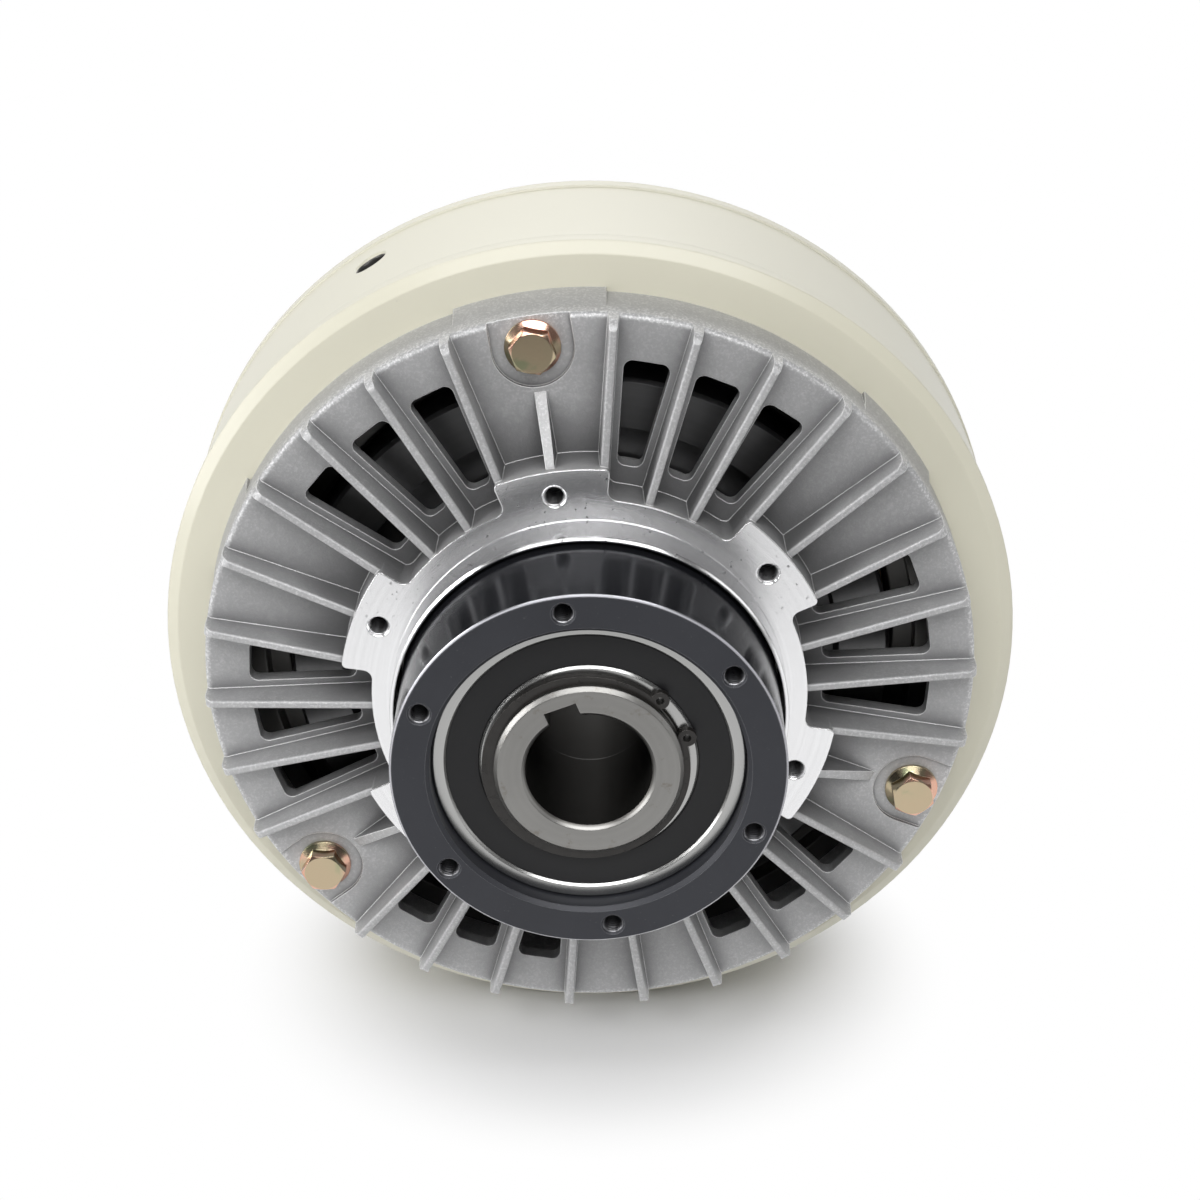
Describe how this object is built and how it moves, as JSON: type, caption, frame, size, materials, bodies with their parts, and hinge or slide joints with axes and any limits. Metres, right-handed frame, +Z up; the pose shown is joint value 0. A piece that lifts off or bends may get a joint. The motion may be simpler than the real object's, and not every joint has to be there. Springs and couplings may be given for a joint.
{
  "type": "magnetic powder clutch",
  "caption": "Magnetic powder clutch with a stationary ivory field core, ribbed and windowed cast brackets, a black tapped input flange and a keyed hollow output shaft.",
  "frame": {"origin": "on the shaft axis in the plane of the front hub face, the stationary mounting face at the foot of the pilot", "axes": "-Y along the shaft axis, towards the black input flange; +Z up, with the lead outlet in the upper left quarter as seen from the flange"},
  "size_m": [0.219, 0.141, 0.219],
  "materials": {
    "ivory_paint": "baked ivory enamel, satin gloss",
    "coil_varnish": "varnished enamelled winding",
    "spacer_brass": "turned",
    "cast_aluminium": "shot-blasted die casting with machined hub face and pilot",
    "zinc_plate": "yellow zinc plate",
    "bearing_steel": "ground",
    "black_oxide": "black oxide",
    "shield_steel": "pressed sheet",
    "cage_nylon": "moulded",
    "blackened_steel": "blackened and fine turned",
    "machined_steel": "fine turned",
    "stainless_steel": "turned",
    "seal_rubber": "moulded, satin",
    "seal_felt": "pressed felt",
    "magnetic_powder": "fine loose powder",
    "shaft_steel": "ground"
  },
  "bodies": {
    "stator": {"field_core": "ivory_paint", "field_cover": "ivory_paint", "field_coil": "coil_varnish", "pole_spacer": "spacer_brass", "front_bracket": "cast_aluminium", "rear_bracket": "cast_aluminium", "front_bracket_bolts": "zinc_plate", "rear_bracket_bolts": "zinc_plate", "front_drum_bearing_outer": "bearing_steel", "rear_drum_bearing_outer": "bearing_steel", "front_drum_bearing_clip": "black_oxide", "rear_drum_bearing_clip": "black_oxide", "front_drum_bearing_shields": "shield_steel", "rear_drum_bearing_shields": "shield_steel"},
    "drive": {"input_flange": "blackened_steel", "front_side_plate": "machined_steel", "rear_side_plate": "machined_steel", "drum": "machined_steel", "drum_break_ring": "stainless_steel", "input_flange_screws": "black_oxide", "front_plate_screws": "black_oxide", "rear_plate_screws": "black_oxide", "front_drum_bearing_inner": "bearing_steel", "rear_drum_bearing_inner": "bearing_steel", "rear_hub_clip": "black_oxide", "front_shaft_bearing_outer": "bearing_steel", "rear_shaft_bearing_outer": "bearing_steel", "front_shaft_bearing_seals": "seal_rubber", "rear_shaft_bearing_seals": "seal_rubber", "front_powder_seal": "seal_felt", "rear_powder_seal": "seal_felt", "powder_charge": "magnetic_powder"},
    "driven": {"hollow_shaft": "shaft_steel", "inner_rotor": "machined_steel", "rotor_key": "machined_steel", "rotor_clips": "black_oxide", "front_shaft_clip": "black_oxide", "rear_shaft_clip": "black_oxide", "front_shaft_bearing_inner": "bearing_steel", "rear_shaft_bearing_inner": "bearing_steel"},
    "front_drum_cage": {"front_drum_bearing_balls": "bearing_steel", "front_drum_bearing_cage": "cage_nylon"},
    "rear_drum_cage": {"rear_drum_bearing_balls": "bearing_steel", "rear_drum_bearing_cage": "cage_nylon"},
    "front_shaft_cage": {"front_shaft_bearing_balls": "bearing_steel", "front_shaft_bearing_cage": "cage_nylon"},
    "rear_shaft_cage": {"rear_shaft_bearing_balls": "bearing_steel", "rear_shaft_bearing_cage": "cage_nylon"}
  },
  "joints": [
    {"name": "drive_spin", "type": "hinge", "parent": "stator", "child": "drive", "pos_m": [0, 0, 0], "axis": [0, -1, 0], "continuous": true},
    {"name": "shaft_slip", "type": "hinge", "parent": "drive", "child": "driven", "pos_m": [0, 0, 0], "axis": [0, -1, 0], "continuous": true},
    {"name": "front_drum_cage_spin", "type": "hinge", "parent": "stator", "child": "front_drum_cage", "pos_m": [0, 0.0165, 0], "axis": [0, -1, 0], "continuous": true},
    {"name": "rear_drum_cage_spin", "type": "hinge", "parent": "stator", "child": "rear_drum_cage", "pos_m": [0, 0.0915, 0], "axis": [0, -1, 0], "continuous": true},
    {"name": "front_shaft_cage_spin", "type": "hinge", "parent": "drive", "child": "front_shaft_cage", "pos_m": [0, -0.024, 0], "axis": [0, -1, 0], "continuous": true},
    {"name": "rear_shaft_cage_spin", "type": "hinge", "parent": "drive", "child": "rear_shaft_cage", "pos_m": [0, 0.094, 0], "axis": [0, -1, 0], "continuous": true}
  ],
  "couplings": [
    {"joint": "front_drum_cage_spin", "follows": "drive_spin", "ratio": 0.4667},
    {"joint": "rear_drum_cage_spin", "follows": "drive_spin", "ratio": 0.4667},
    {"joint": "front_shaft_cage_spin", "follows": "shaft_slip", "ratio": 0.425},
    {"joint": "rear_shaft_cage_spin", "follows": "shaft_slip", "ratio": 0.4389}
  ]
}
